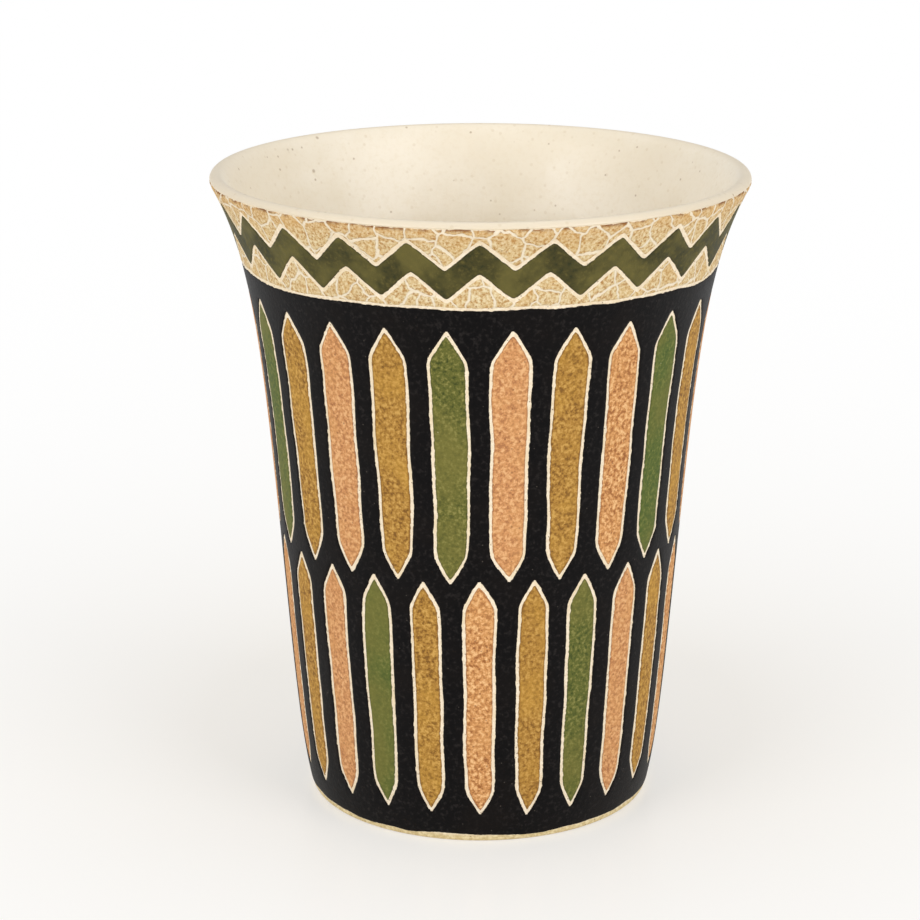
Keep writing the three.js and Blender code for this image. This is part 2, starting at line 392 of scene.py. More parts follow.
THROWING_PITCH = 0.0065
THROWING_DEPTH = 0.00005
THROWING_SLANT = 0.4  # carries the rings on across the floor
LIP_FADE = 0.012  # the rings fade out over this height below the lip
MIDDLE_FADE = 0.01  # and over this radius at the middle of the floor
GLAZE_EDGE = 0.00004
EDGE_DEPTH = 0.35 * GLAZE
LIP_TINT_WIDTH = 2.2 * LIP_RADIUS
CREAM_SHADE = colour(237, 226, 205)
CREAM_LIGHT = colour(244, 235, 218)
CREAM_ON_LIP = colour(230, 217, 194)
CREAM_MOTTLE = colour(229, 215, 188)
FAINT_SPECK = colour(186, 158, 108)
SMALL_SPECK = colour(148, 114, 66)
LARGE_SPECK = colour(140, 106, 60)


def thrown(line):
    """The faint rings that the potter's fingers leave up the inside."""
    rings = []
    for radius, height in line:
        fade = min(max((HEIGHT - LIP_ROLL - height) / LIP_FADE, 0), 1) * min(radius / MIDDLE_FADE, 1)
        wave = math.sin(2 * math.pi * (height + THROWING_SLANT * radius) / THROWING_PITCH)
        rings.append((radius + THROWING_DEPTH * fade * wave, height))
    return rings


def glaze_section():
    """The glaze's back from the floor up, its rounded edge on the lip, and its face down again."""
    back = lip_round(GLAZE, GLAZE_ANGLE, steps=5) + lip_roll(GLAZE, steps=12) + bore_line(GLAZE, steps=44)
    face = lip_round(0.0, GLAZE_ANGLE, steps=12) + lip_roll(0.0, steps=32) + thrown(bore_line(0.0, steps=84))
    edge_radius, edge_height = lip_round(EDGE_DEPTH, GLAZE_ANGLE, steps=1)[0]
    return list(reversed(back)) + [(edge_radius, edge_height - GLAZE_EDGE)] + face


def speckled(tree, place, base, stain, spacing, radius, chosen, strength):
    """A colour with round specks of a stain."""
    return stained(tree, base, stain, specks(tree, place, spacing, radius, chosen), strength)


def glaze_finish():
    """Satin cream, tanner and darker towards the lip, with faint, small and large specks."""
    finish, tree, shader, place = new_finish("lining_glaze")
    fine = grain(tree, place, size=0.0009, detail=5.0, roughness=0.65)
    broad = grain(tree, place, size=0.02)
    cream = tint(tree, ramp(tree, broad, low=0.35, high=0.68), CREAM_SHADE, CREAM_LIGHT)
    across, deep, _ = put(tree, "ShaderNodeSeparateXYZ", {0: place})
    level = put(tree, "ShaderNodeCombineXYZ", {"X": across, "Y": deep})[0]
    radius = put(tree, "ShaderNodeVectorMath", {0: level}, operation="LENGTH")["Value"]
    # The cream is tanner and darker in a band round the rim, set by radius alone.
    on_lip = ramp(tree, radius, low=MOUTH_RADIUS - LIP_TINT_WIDTH, high=MOUTH_RADIUS - LIP_RADIUS)
    tan_towards_lip = tint(tree, on_lip, cream, CREAM_ON_LIP)
    mottled = stained(tree, tan_towards_lip, CREAM_MOTTLE, ramp(tree, fine, low=0.45, high=0.7), strength=0.28)
    rusty = speckled(
        tree, place, mottled, FAINT_SPECK, spacing=0.0018, radius=0.0004, chosen=0.7, strength=0.16
    )
    spotted = speckled(
        tree, place, rusty, SMALL_SPECK, spacing=0.0030, radius=0.0003, chosen=0.7, strength=0.5
    )
    freckled = speckled(
        tree, place, spotted, LARGE_SPECK, spacing=0.0060, radius=0.0005, chosen=0.55, strength=0.5
    )
    tree.links.new(freckled, shader["Base Color"])
    tree.links.new(between(tree, fine, low=0.30, high=0.46), shader["Roughness"])
    shader["Specular IOR Level"].default_value = 0.5
    tree.links.new(roughened(tree, fine, depth=0.00005), shader["Normal"])
    return finish


lining = made_by(
    turned_on_wheel, "lining_glaze", section_mesh("glaze_section", glaze_section()),
    {"Facets": FACETS, "Finish": glaze_finish()},
)
fixed_as(lining, "liner_glaze")


# The sand bands and the zigzag ribbon
# Three coats of coloured slip brushed round under the lip, sand, dark olive and sand again. Each stops
# short of the next, so that a bare line of clay parts them.

FRONT = -math.pi / 2
COLUMNS = 24
GLAZE_GAP = 0.0001
LIP_LINE = 0.0004
BAND_TOP = GLAZE_START - GLAZE_GAP
BAND_HEIGHT = 0.0124
BAND_BOTTOM = LIP_START - LIP_LINE - BAND_HEIGHT
RIBBON_HEIGHT = 0.005
RIBBON_LINE = 0.0007
SAND_MARGIN = 0.0008
RIBBON_BOTTOM = BAND_BOTTOM + SAND_MARGIN + RIBBON_LINE
ZIGZAG_RISE = BAND_HEIGHT - RIBBON_HEIGHT - 2 * (RIBBON_LINE + SAND_MARGIN)
TURN_SHARPNESS = 0.985
BAND_COLUMNS = 960
BAND_ROWS = 7
ROUNDED_EDGE = 0.00028
WAVER = 0.00014  # each coat's own unsteady outline
WAVER_LENGTH = 0.0060
DRIFT = 0.0017  # the wandering of the drawn lines, which all coats share
DRIFT_LENGTH = 0.015
NOISE_MIDDLE = 0.5
NOISE_TO_WAVER = 4.0  # noise seldom leaves the middle half of its range
THINNEST = 0.7  # the share of the slip's thickness that is left where it is thinnest
BACK_DEPTH = 1.25  # the back of a coat lies this many thicknesses below its face, inside the clay
BACK_MARK = -1.0


def cut_sheet(name, corners, around=False, open_cells=frozenset()):
    """A flat sheet with a face and a back. corners[row][column] is an angle round the cup and a height.
    The edge attribute is the distance from the sheet's edge on the face, and BACK_MARK on the back."""
    rows = len(corners) - 1
    across = len(corners[0])
    columns = across if around else across - 1
    flat = [corner for row in corners for corner in row]

    def filled(row, column):
        inside = 0 <= row < rows and (around or 0 <= column < columns)
        return inside and (row, column % columns) not in open_cells

    faces = []
    rim = set()

    def wall(start, end):
        faces.append((start + len(flat), end + len(flat), end, start))
        rim.update((start, end))

    for row in range(rows):
        for column in range(columns):
            if not filled(row, column):
                continue
            beside = (column + 1) % across
            a, b = row * across + column, row * across + beside
            d, c = a + across, b + across
            faces.append((a, b, c, d))
            faces.append(tuple(point + len(flat) for point in (a, d, c, b)))
            sides = [
                (row - 1, column, a, b),
                (row, column + 1, b, c),
                (row + 1, column, c, d),
                (row, column - 1, d, a),
            ]
            for next_row, next_column, start, end in sides:
                if not filled(next_row, next_column):
                    wall(start, end)

    def on_wall(angle, height):
        radius = wall_radius(height)
        return (radius * math.cos(angle), radius * math.sin(angle), height)

    edge_points = KDTree(len(rim))
    for point in rim:
        edge_points.insert(on_wall(*flat[point]), point)
    edge_points.balance()
    distances = [edge_points.find(on_wall(angle, height))[2] for angle, height in flat]
    mesh = bpy.data.meshes.new(name)
    mesh.from_pydata([(angle, height, 0) for angle, height in flat * 2], [], faces)
    edge = mesh.attributes.new("edge", "FLOAT", "POINT")
    edge.data.foreach_set("value", distances + [BACK_MARK] * len(flat))
    return mesh


def brushed_tree():
    """Lays a cut sheet round the wall. Its outline wavers and its face swells from the edge."""
    numbers = [
        "Turn", "Seed", "Tone", "Slip", "Rounded Edge", "Waver", "Waver Length", "Drift", "Drift Length",
        "Wall At Lip", "Mouth Radius", "Lip Radius", "Lip Start", "Foot Radius", "Lip Centre", "Flare",
        "Flare Length", "Tuck", "Tuck Length",
    ]
    tree, given = new_tree("brushed_on_the_wall", {
        "Sheet": "Geometry", **{number: "Float" for number in numbers}, "Finish": "Material",
    })
    flat = put(tree, "GeometryNodeInputPosition", {})[0]
    sheet_angle, sheet_height, _ = put(tree, "ShaderNodeSeparateXYZ", {0: flat})
    first_angle = sums(tree, "ADD", sheet_angle, given["Turn"])
    edge = put(tree, "GeometryNodeInputNamedAttribute", {"Name": "edge"}, data_type="FLOAT")[0]

    # The outline wavers by the coat's own noise and drifts by a noise that its neighbours share
    round_place = put(tree, "ShaderNodeCombineXYZ", {
        "X": sums(tree, "MULTIPLY", sums(tree, "COSINE", first_angle), given["Wall At Lip"]),
        "Y": sums(tree, "MULTIPLY", sums(tree, "SINE", first_angle), given["Wall At Lip"]),
        "Z": sheet_height,
    })[0]
    unsteady = put(tree, "ShaderNodeTexNoise", {
        "Vector": round_place, "W": given["Seed"], "Scale": sums(tree, "DIVIDE", 1.0, given["Waver Length"]),
        "Detail": 3.0, "Roughness": 0.6,
    }, noise_dimensions="4D")["Color"]
    sideways, upwards, thicker = put(tree, "ShaderNodeSeparateXYZ", {0: unsteady})
    waver = sums(tree, "MULTIPLY", given["Waver"], NOISE_TO_WAVER)
    own_shift = sums(tree, "MULTIPLY", sums(tree, "SUBTRACT", sideways, NOISE_MIDDLE), waver)
    own_lift = sums(tree, "MULTIPLY", sums(tree, "SUBTRACT", upwards, NOISE_MIDDLE), waver)
    drawn = put(tree, "ShaderNodeTexNoise", {
        "Vector": round_place, "Scale": sums(tree, "DIVIDE", 1.0, given["Drift Length"]), "Detail": 1.0,
    })["Color"]
    drawn_sideways, drawn_upwards, _ = put(tree, "ShaderNodeSeparateXYZ", {0: drawn})
    clear_of_lip = sums(tree, "SUBTRACT", given["Lip Start"], given["Drift Length"])
    away_from_lip = ramp(tree, sheet_height, low=given["Lip Start"], high=clear_of_lip)
    drift = sums(tree, "MULTIPLY", given["Drift"], away_from_lip)
    drawn_shift = sums(tree, "SUBTRACT", drawn_sideways, NOISE_MIDDLE)
    drawn_lift = sums(tree, "SUBTRACT", drawn_upwards, NOISE_MIDDLE)
    shift = sums(tree, "MULTIPLY_ADD", drawn_shift, drift, own_shift)
    lift = sums(tree, "MULTIPLY_ADD", drawn_lift, drift, own_lift)
    angle = sums(tree, "ADD", first_angle, sums(tree, "DIVIDE", shift, given["Wall At Lip"]))
    height = sums(tree, "ADD", sheet_height, lift)

    # The wall's radius at that height, as wall_radius gives it
    straight_foot = sums(tree, "ADD", given["Foot Radius"], given["Tuck"])
    straight_mouth = sums(tree, "SUBTRACT", given["Wall At Lip"], given["Flare"])
    widening = sums(tree, "SUBTRACT", straight_mouth, straight_foot)
    share = sums(tree, "DIVIDE", height, given["Lip Centre"])
    taper = sums(tree, "MULTIPLY_ADD", widening, share, straight_foot)
    up_round = sums(tree, "SUBTRACT", height, given["Lip Centre"])
    below_lip = sums(tree, "DIVIDE", up_round, given["Flare Length"])
    flared = sums(tree, "MULTIPLY_ADD", given["Flare"], sums(tree, "EXPONENT", below_lip), taper)
    above_foot = sums(tree, "DIVIDE", sums(tree, "MULTIPLY", height, -1.0), given["Tuck Length"])
    tucked = sums(tree, "MULTIPLY", given["Tuck"], sums(tree, "EXPONENT", above_foot))
    below_round = sums(tree, "SUBTRACT", flared, tucked)
    lip_square = sums(tree, "MULTIPLY", given["Lip Radius"], given["Lip Radius"])
    up_square = sums(tree, "MULTIPLY", up_round, up_round)
    out_of_round = sums(tree, "SQRT", sums(tree, "SUBTRACT", lip_square, up_square))
    round_centre = sums(tree, "SUBTRACT", given["Mouth Radius"], given["Lip Radius"])
    on_round = sums(tree, "ADD", round_centre, out_of_round)
    is_round = sums(tree, "GREATER_THAN", height, given["Lip Start"])
    wall = put(tree, "ShaderNodeMix", {0: is_round, 2: below_round, 3: on_round}, data_type="FLOAT")[0]

    # The face swells in a quarter round from the edge to the slip's thickness, and the back is level
    to_edge = sums(tree, "SUBTRACT", 1.0, sums(tree, "DIVIDE", edge, given["Rounded Edge"]))
    near_edge = sums(tree, "MAXIMUM", to_edge, 0.0)
    near_square = sums(tree, "MULTIPLY", near_edge, near_edge)
    swell = sums(tree, "SQRT", sums(tree, "SUBTRACT", 1.0, near_square))
    uneven = sums(tree, "MULTIPLY_ADD", thicker, 1 - THINNEST, THINNEST)
    sunk = sums(tree, "SUBTRACT", 1.0, sums(tree, "MULTIPLY", swell, uneven))
    face_depth = sums(tree, "MULTIPLY", given["Slip"], sunk)
    back_depth = sums(tree, "MULTIPLY", given["Slip"], BACK_DEPTH)
    on_back = put(
        tree, "FunctionNodeCompare", {0: edge, 1: 0.0}, data_type="FLOAT", operation="LESS_THAN"
    )[0]
    depths = {0: on_back, 1: face_depth, 2: back_depth}
    depth = put(tree, "GeometryNodeSwitch", depths, input_type="FLOAT")[0]
    radius = sums(tree, "SUBTRACT", wall, depth)
    bent = put(tree, "ShaderNodeCombineXYZ", {
        "X": sums(tree, "MULTIPLY", radius, sums(tree, "COSINE", angle)),
        "Y": sums(tree, "MULTIPLY", radius, sums(tree, "SINE", angle)),
        "Z": height,
    })[0]
    laid = put(tree, "GeometryNodeSetPosition", {"Geometry": given["Sheet"], "Position": bent})[0]
    toned = put(
        tree, "GeometryNodeStoreNamedAttribute", {"Geometry": laid, "Name": "tone", "Value": given["Tone"]},
        data_type="FLOAT", domain="POINT",
    )[0]
    end_tree(tree, toned, given["Finish"])
    return tree


brushed_on_wall = brushed_tree()


def brushed(name, node, sheet, finish, seed, turn=0.0, tone=0.5):
    """A coat of slip on the wall, in place of its CAD node."""
    piece = made_by(brushed_on_wall, name, sheet, {
        "Turn": turn, "Seed": seed, "Tone": tone, "Finish": finish,
        "Slip": SLIP, "Rounded Edge": ROUNDED_EDGE,
        "Waver": WAVER, "Waver Length": WAVER_LENGTH, "Drift": DRIFT, "Drift Length": DRIFT_LENGTH,
        "Wall At Lip": WALL_AT_LIP, "Mouth Radius": MOUTH_RADIUS, "Foot Radius": FOOT_RADIUS,
        "Lip Radius": LIP_RADIUS, "Lip Start": LIP_START, "Lip Centre": LIP_CENTRE,
        "Flare": FLARE, "Flare Length": FLARE_LENGTH, "Tuck": TUCK, "Tuck Length": TUCK_LENGTH,
    })
    fixed_as(piece, node)


def ribbon_edge(angle):
    """Height of the ribbon's lower edge: a zigzag with slightly rounded turns, high at each panel of the
    lower row."""
    wave = math.asin(TURN_SHARPNESS * math.cos((angle - FRONT) * COLUMNS)) / math.asin(TURN_SHARPNESS)
    return RIBBON_BOTTOM + ZIGZAG_RISE * (1 + wave) / 2


def band_sheet(name, lower_edge, upper_edge):
    """A ring of slip between two edges, each a height for an angle."""
    angles = [2 * math.pi * column / BAND_COLUMNS for column in range(BAND_COLUMNS)]
    corners = []
    for part in spread(0.0, 1.0, BAND_ROWS):
        corners.append([(a, lower_edge(a) * (1 - part) + upper_edge(a) * part) for a in angles])
    return cut_sheet(name, corners, around=True)


FINE_SHARE = 0.35  # the size of the fine grain, as a share of the lumps'
LUMP_HEIGHT = 2.0  # the height of the lumps, in heights of the fine grain
ROUGH_SPREAD = 0.12
RAGGED_LENGTH = 0.0009
RAGGED_DEPTH = 0.00013
RAGGED_WHOLE = 0.00003  # the slip is whole this far inside its nibbled edge
RAGGED_BARE = -0.00001  # and gone this far outside it
BARE_EDGE = colour(241, 228, 204)


def slip_base(name, shades, lump, contrast):
    """The start of a slip finish: lumps of a dark, a middle and a light shade, with a finer grain."""
    dark, middle, light = shades
    finish, tree, shader, place = new_finish(name)
    lumps = grain(tree, place, lump, detail=4.0, roughness=0.62)
    fine = grain(tree, place, lump * FINE_SHARE, detail=2.0)
    shaded = tint(tree, ramp(tree, lumps, low=NOISE_MIDDLE - contrast, high=NOISE_MIDDLE), dark, middle)
    lit = tint(tree, ramp(tree, lumps, low=NOISE_MIDDLE, high=NOISE_MIDDLE + contrast), shaded, light)
    return finish, tree, shader, place, lumps, fine, lit


def clouded(tree, place, base, stain, size, low, high, strength):
    """A colour with soft clouds of a stain, of about that size."""
    return stained(tree, base, stain, ramp(tree, grain(tree, place, size), low, high), strength)


def rim_share(tree, fine, width):
    """1 at a coat's edge and 0 further in than the width, broken up by the grain."""
    edge = put(tree, "ShaderNodeAttribute", {}, attribute_name="edge")["Fac"]
    broken = sums(tree, "MULTIPLY", width, between(tree, fine, low=0.3, high=1.7))
    inwards = put(tree, "ShaderNodeMapRange", {"Value": edge, "From Max": broken})[0]
    return sums(tree, "SUBTRACT", 1.0, inwards)


def rimmed(tree, base, stain, fine, width, strength):
    """A colour with a stain along the coat's edge."""
    return stained(tree, base, stain, rim_share(tree, fine, width), strength)


def dressed(tree, shader, place, base, lumps, fine, rough, gloss, depth):
    """Ends a slip finish: bare clay where its edge is ragged, then its roughness, gloss and tooth."""
    edge = put(tree, "ShaderNodeAttribute", {}, attribute_name="edge")["Fac"]
    worn = ramp(tree, grain(tree, place, RAGGED_LENGTH), low=0.4, high=0.75)
    nibbled = sums(tree, "MULTIPLY", worn, RAGGED_DEPTH)
    bare = ramp(tree, sums(tree, "SUBTRACT", edge, nibbled), low=RAGGED_WHOLE, high=RAGGED_BARE)
    tree.links.new(tint(tree, bare, base, BARE_EDGE), shader["Base Color"])
    tree.links.new(between(tree, lumps, rough - ROUGH_SPREAD, rough + ROUGH_SPREAD), shader["Roughness"])
    shader["Specular IOR Level"].default_value = gloss
    tooth = sums(tree, "MULTIPLY_ADD", lumps, LUMP_HEIGHT, fine)
    tree.links.new(roughened(tree, tooth, depth), shader["Normal"])


SCRATCH_SPACING = 0.0041
SCRATCH_WIDTH = 0.00036
SCRATCH_GONE = 0.75  # a scratch ends this share of its width from its middle
SCRATCH_FULL = 0.35
SCRATCH_SWAYS = 2  # sways of the hand for each space between scratches
SCRATCH_SWAY = 0.4


def scratched_net(tree, place, spacing, width):
    """A net of fine scratched lines on the unrolled wall, at about that spacing and width, by an unsteady
    hand."""
    across, deep, height = put(tree, "ShaderNodeSeparateXYZ", {0: place})
    angle = sums(tree, "ARCTAN2", across, sums(tree, "MULTIPLY", deep, -1.0))
    round_wall = sums(tree, "MULTIPLY", angle, MOUTH_RADIUS)
    flat = put(tree, "ShaderNodeCombineXYZ", {"X": round_wall, "Y": height})[0]
    sways = {"Vector": place, "Scale": SCRATCH_SWAYS / spacing, "Detail": 2.0}
    sway = put(tree, "ShaderNodeTexNoise", sways)["Color"]
    reach = (SCRATCH_SWAY * spacing,) * 3
    drawn = put(tree, "ShaderNodeVectorMath", {0: sway, 1: reach, 2: flat}, operation="MULTIPLY_ADD")[0]
    net = put(
        tree, "ShaderNodeTexVoronoi", {"Vector": drawn, "Scale": 1 / spacing},
        feature="DISTANCE_TO_EDGE", voronoi_dimensions="2D",
    )["Distance"]
    return ramp(tree, net, low=SCRATCH_GONE * width / spacing, high=SCRATCH_FULL * width / spacing)


SAND_SHADES = (colour(183, 141, 87), colour(217, 192, 146), colour(234, 220, 185))
SAND_YELLOW = colour(220, 180, 112)
SAND_GRIT = colour(150, 96, 52)
SAND_WARM = colour(208, 146, 66)
SAND_SCORCHED = colour(120, 66, 26)
SAND_SCRATCHED = colour(244, 233, 212)
WARM_HEIGHT = 0.004
SCORCH_FROM = 0.0016
SCORCH_FULL = 0.0008


def sand_finish():
    """Dry granular sand, gritty and scratched, warmer under the lip and scorched at its upper edge."""
    finish, tree, shader, place, lumps, fine, base = slip_base(
        "sand_slip", SAND_SHADES, lump=0.00048, contrast=0.13
    )
    yellow = clouded(tree, place, base, SAND_YELLOW, size=0.005, low=0.45, high=0.72, strength=0.3)
    gritty = speckled(
        tree, place, yellow, SAND_GRIT, spacing=0.00075, radius=0.0002, chosen=0.45, strength=0.65
    )
    height = put(tree, "ShaderNodeSeparateXYZ", {0: place})["Z"]
    near_lip = ramp(tree, height, low=BAND_TOP - WARM_HEIGHT, high=BAND_TOP)
    warmed = stained(tree, gritty, SAND_WARM, near_lip, strength=0.25)
    at_lip = ramp(tree, height, low=BAND_TOP - SCORCH_FROM, high=BAND_TOP - SCORCH_FULL)
    scorch = sums(tree, "MULTIPLY", rim_share(tree, fine, width=0.0006), at_lip)
    patches = ramp(tree, grain(tree, place, size=0.004), low=0.43, high=0.57)
    scorched = tint(tree, sums(tree, "MULTIPLY", scorch, patches), warmed, SAND_SCORCHED)
    scratches = scratched_net(tree, place, SCRATCH_SPACING, SCRATCH_WIDTH)
    scratched = stained(tree, scorched, SAND_SCRATCHED, scratches, strength=0.92)
    cut_lumps = sums(tree, "SUBTRACT", lumps, scratches)
    dressed(tree, shader, place, scratched, cut_lumps, fine, rough=0.78, gloss=0.25, depth=0.00005)
    return finish


OLIVE_SHADES = (colour(45, 48, 22), colour(66, 63, 30), colour(92, 85, 43))
OLIVE_CLOUD = colour(109, 102, 53)
OLIVE_RIM = colour(52, 46, 30)


def olive_finish():
    """Matt dark olive with soft lighter clouds."""
    finish, tree, shader, place, lumps, fine, base = slip_base(
        "olive_slip", OLIVE_SHADES, lump=0.0009, contrast=0.2
    )
    cloudy = clouded(tree, place, base, OLIVE_CLOUD, size=0.007, low=0.38, high=0.66, strength=0.75)
    rim = rimmed(tree, cloudy, OLIVE_RIM, fine, width=0.0003, strength=0.6)
    dressed(tree, shader, place, rim, lumps, fine, rough=0.62, gloss=0.2, depth=0.00003)
    return finish


def ribbon_top(angle):
    """Height of the ribbon's upper edge."""
    return ribbon_edge(angle) + RIBBON_HEIGHT


sand = sand_finish()
upper_sand = band_sheet("upper_sand_sheet", lambda a: ribbon_top(a) + RIBBON_LINE, lambda a: BAND_TOP)
brushed("upper_sand", "sand_band_upper", upper_sand, sand, seed=1.0)
ribbon = band_sheet("ribbon_sheet", ribbon_edge, ribbon_top)
brushed("olive_ribbon", "green_zigzag", ribbon, olive_finish(), seed=2.0)
lower_sand = band_sheet("lower_sand_sheet", lambda a: BAND_BOTTOM, lambda a: ribbon_edge(a) - RIBBON_LINE)
brushed("lower_sand", "sand_band_lower", lower_sand, sand, seed=3.0)


# The black ground
# One coat of satin black slip over the rest of the wall, with a pointed window left open for each panel.
# It was brushed up to lines drawn on the clay, so its edges waver a little.

PITCH = 2 * math.pi / COLUMNS
LINE = 0.0004
FIELD_BOTTOM = 0.0012
FIELD_TOP = BAND_BOTTOM - LINE
GROUND_WIDTH = 0.0034
POINT_HEIGHT = 0.008
POINT_ROUND = 0.0005
SHOULDER_ROUND = 0.0005
TIP_WIDTH = 0.0003
PANEL_HEIGHT = (FIELD_TOP - FIELD_BOTTOM + POINT_HEIGHT) / 2
LOWER_BOTTOM = FIELD_BOTTOM
UPPER_BOTTOM = FIELD_TOP - PANEL_HEIGHT
WINDOW_ROWS = 86
STRIP_CELLS = 4
GROUND_STEP = 0.00085
LEAST_STEP = GROUND_STEP / 20
EDGE_ROWS = (0.15, 0.5, 1.0)  # rows near the upper and lower edge, as shares of the rounded edge
SAME_HEIGHT = 1e-9
BLACK_SHADES = (colour(5, 4, 5), colour(10, 8, 9), colour(36, 33, 33))
BLACK_CLOUD = colour(20, 15, 13)
BLACK_DUST = colour(120, 112, 104)
BLACK_RIM = colour(62, 48, 38)


def pointed(bottom, margin):
    """The lowest and highest points of a pointed panel drawn in by a margin, and half of the angle that it
    spans at a height."""
    middle_slope = PITCH * wall_radius(bottom + PANEL_HEIGHT / 2) / 2 / POINT_HEIGHT
    inset = margin * math.hypot(1, middle_slope) / middle_slope + POINT_ROUND
    low = bottom + inset
    high = bottom + PANEL_HEIGHT - inset

    def half_angle(height):
        radius = wall_radius(height)
        rise = max(min(height - low, high - height), 0.0)
        slant = PITCH * radius / 2 / POINT_HEIGHT * math.sqrt(rise * (rise + 2 * POINT_ROUND))
        side = PITCH * radius / 2 - margin
        width = (side + slant - math.hypot(side - slant, SHOULDER_ROUND)) / 2
        return max(width, TIP_WIDTH / 2) / radius

    return low, high, half_angle


def ground_sheet():
    """Round the cup, the windows of both rows in turn, with a strip of black between each two."""
    windows = [pointed(bottom, GROUND_WIDTH / 2) for bottom in (LOWER_BOTTOM, UPPER_BOTTOM)]
    heights = [FIELD_BOTTOM, FIELD_TOP]
    for low, high, _ in windows:
        heights += spread(low, high, WINDOW_ROWS) + [low - ROUNDED_EDGE, high + ROUNDED_EDGE]
    heights += [FIELD_BOTTOM + ROUNDED_EDGE * part for part in EDGE_ROWS]
    heights += [FIELD_TOP - ROUNDED_EDGE * part for part in EDGE_ROWS]
    heights.sort()
    tips = {tip for low, high, _ in windows for tip in (low, high)}
    levels = [heights[0]]
    for height in heights[1:]:
        start = levels[-1]
        steps = math.ceil((height - start) / GROUND_STEP)
        if height in tips or height - start > LEAST_STEP:
            levels += [start + (height - start) * (step + 1) / steps for step in range(steps - 1)] + [height]
    row_points = 2 * COLUMNS * (STRIP_CELLS + 1)
    corners = []
    open_cells = set()
    for row, height in enumerate(levels):
        line = []
        for place in range(2 * COLUMNS):
            low, high, half_angle = windows[place % 2]
            _, _, next_half_angle = windows[(place + 1) % 2]
            start = FRONT + place * PITCH / 2 + half_angle(height)
            end = FRONT + (place + 1) * PITCH / 2 - next_half_angle(height)
            above_low = height >= low - SAME_HEIGHT
            if row + 1 < len(levels) and above_low and levels[row + 1] <= high + SAME_HEIGHT:
                open_cells.add((row, (len(line) - 1) % row_points))
            line += [(angle, height) for angle in spread(start, end, STRIP_CELLS)]
        corners.append(line)
    return cut_sheet("ground_sheet", corners, around=True, open_cells=open_cells)


def black_finish():
    """Satin black with faint brown clouds and a few pale specks."""
    finish, tree, shader, place, lumps, fine, base = slip_base(
        "black_slip", BLACK_SHADES, lump=0.0007, contrast=0.2
    )
    brown = clouded(tree, place, base, BLACK_CLOUD, size=0.009, low=0.45, high=0.7, strength=0.5)
    dusty = speckled(
        tree, place, brown, BLACK_DUST, spacing=0.0017, radius=0.00014, chosen=0.5, strength=0.35
    )
    rim = rimmed(tree, dusty, BLACK_RIM, fine, width=0.00018, strength=0.5)
    dressed(tree, shader, place, rim, lumps, fine, rough=0.5, gloss=0.3, depth=0.00003)
    shader["IOR"].default_value = 1.25
    return finish


brushed("black_slip", "black_ground", ground_sheet(), black_finish(), seed=4.0)


# The coloured panels
# Forty-eight long pointed panels of salmon, ochre and green slip, each brushed by hand into its own
# window in the black and stopped short of it all round.

PANEL_ROWS = 170
HALF_PANEL_CELLS = 5
EDGE_CROWDING = 2.2
COLOUR_ORDER = ["salmon", "ochre", "green", "salmon", "ochre", "salmon", "green", "ochre"]
UPPER_START = 3
FIRST_SEED = 10.0
SEED_STEP = 3.7
TONE_STEP = 0.618
SALMON_SHADES = (colour(156, 99, 55), colour(208, 149, 92), colour(240, 195, 141))
SALMON_PINK = colour(206, 148, 106)
SALMON_CLOUD = colour(216, 160, 100)
SALMON_SPOT = colour(132, 80, 48)
SALMON_RIM = colour(142, 92, 62)
OCHRE_SHADES = (colour(116, 77, 26), colour(174, 129, 56), colour(210, 167, 90))
OCHRE_BROWN = colour(160, 116, 54)
OCHRE_CLOUD = colour(196, 150, 62)
OCHRE_SPOT = colour(106, 70, 28)
OCHRE_RIM = colour(108, 72, 30)
GREEN_SHADES = (colour(60, 68, 26), colour(98, 100, 44), colour(144, 139, 78))
GREEN_FRESH = colour(74, 104, 46)
GREEN_CLOUD = colour(121, 115, 56)
GREEN_FLECK = colour(190, 184, 140)
GREEN_RIM = colour(66, 70, 36)


def panel_sheet(name, bottom):
    """A pointed panel at the front of the cup, with its cells crowded towards its edges."""
    low, high, half_angle = pointed(bottom, GROUND_WIDTH / 2 + LINE)
    sides = []
    for cell in range(2 * HALF_PANEL_CELLS + 1):
        inwards = min(cell, 2 * HALF_PANEL_CELLS - cell) / HALF_PANEL_CELLS
        side = 1 - inwards ** EDGE_CROWDING
        sides.append(-side if cell < HALF_PANEL_CELLS else side)
    corners = []
    for height in spread(low, high, PANEL_ROWS):
        corners.append([(FRONT + side * half_angle(height), height) for side in sides])
    return cut_sheet(name, corners)


def tone_of(tree):
    """The panel's own tone, from 0 to 1."""
    return put(tree, "ShaderNodeAttribute", {}, attribute_name="tone")["Fac"]


def salmon_finish():
    """Dry salmon, mottled and spotted, pinker in some panels."""
    finish, tree, shader, place, lumps, fine, base = slip_base(
        "salmon_slip", SALMON_SHADES, lump=0.00058, contrast=0.13
    )
    pinkish = stained(tree, base, SALMON_PINK, tone_of(tree), strength=0.4)
    cloudy = clouded(tree, place, pinkish, SALMON_CLOUD, size=0.006, low=0.42, high=0.7, strength=0.35)
    spotted = speckled(
        tree, place, cloudy, SALMON_SPOT, spacing=0.0010, radius=0.00024, chosen=0.42, strength=0.6
    )
    rim = rimmed(tree, spotted, SALMON_RIM, fine, width=0.0003, strength=0.75)
    dressed(tree, shader, place, rim, lumps, fine, rough=0.74, gloss=0.25, depth=0.000012)
    return finish


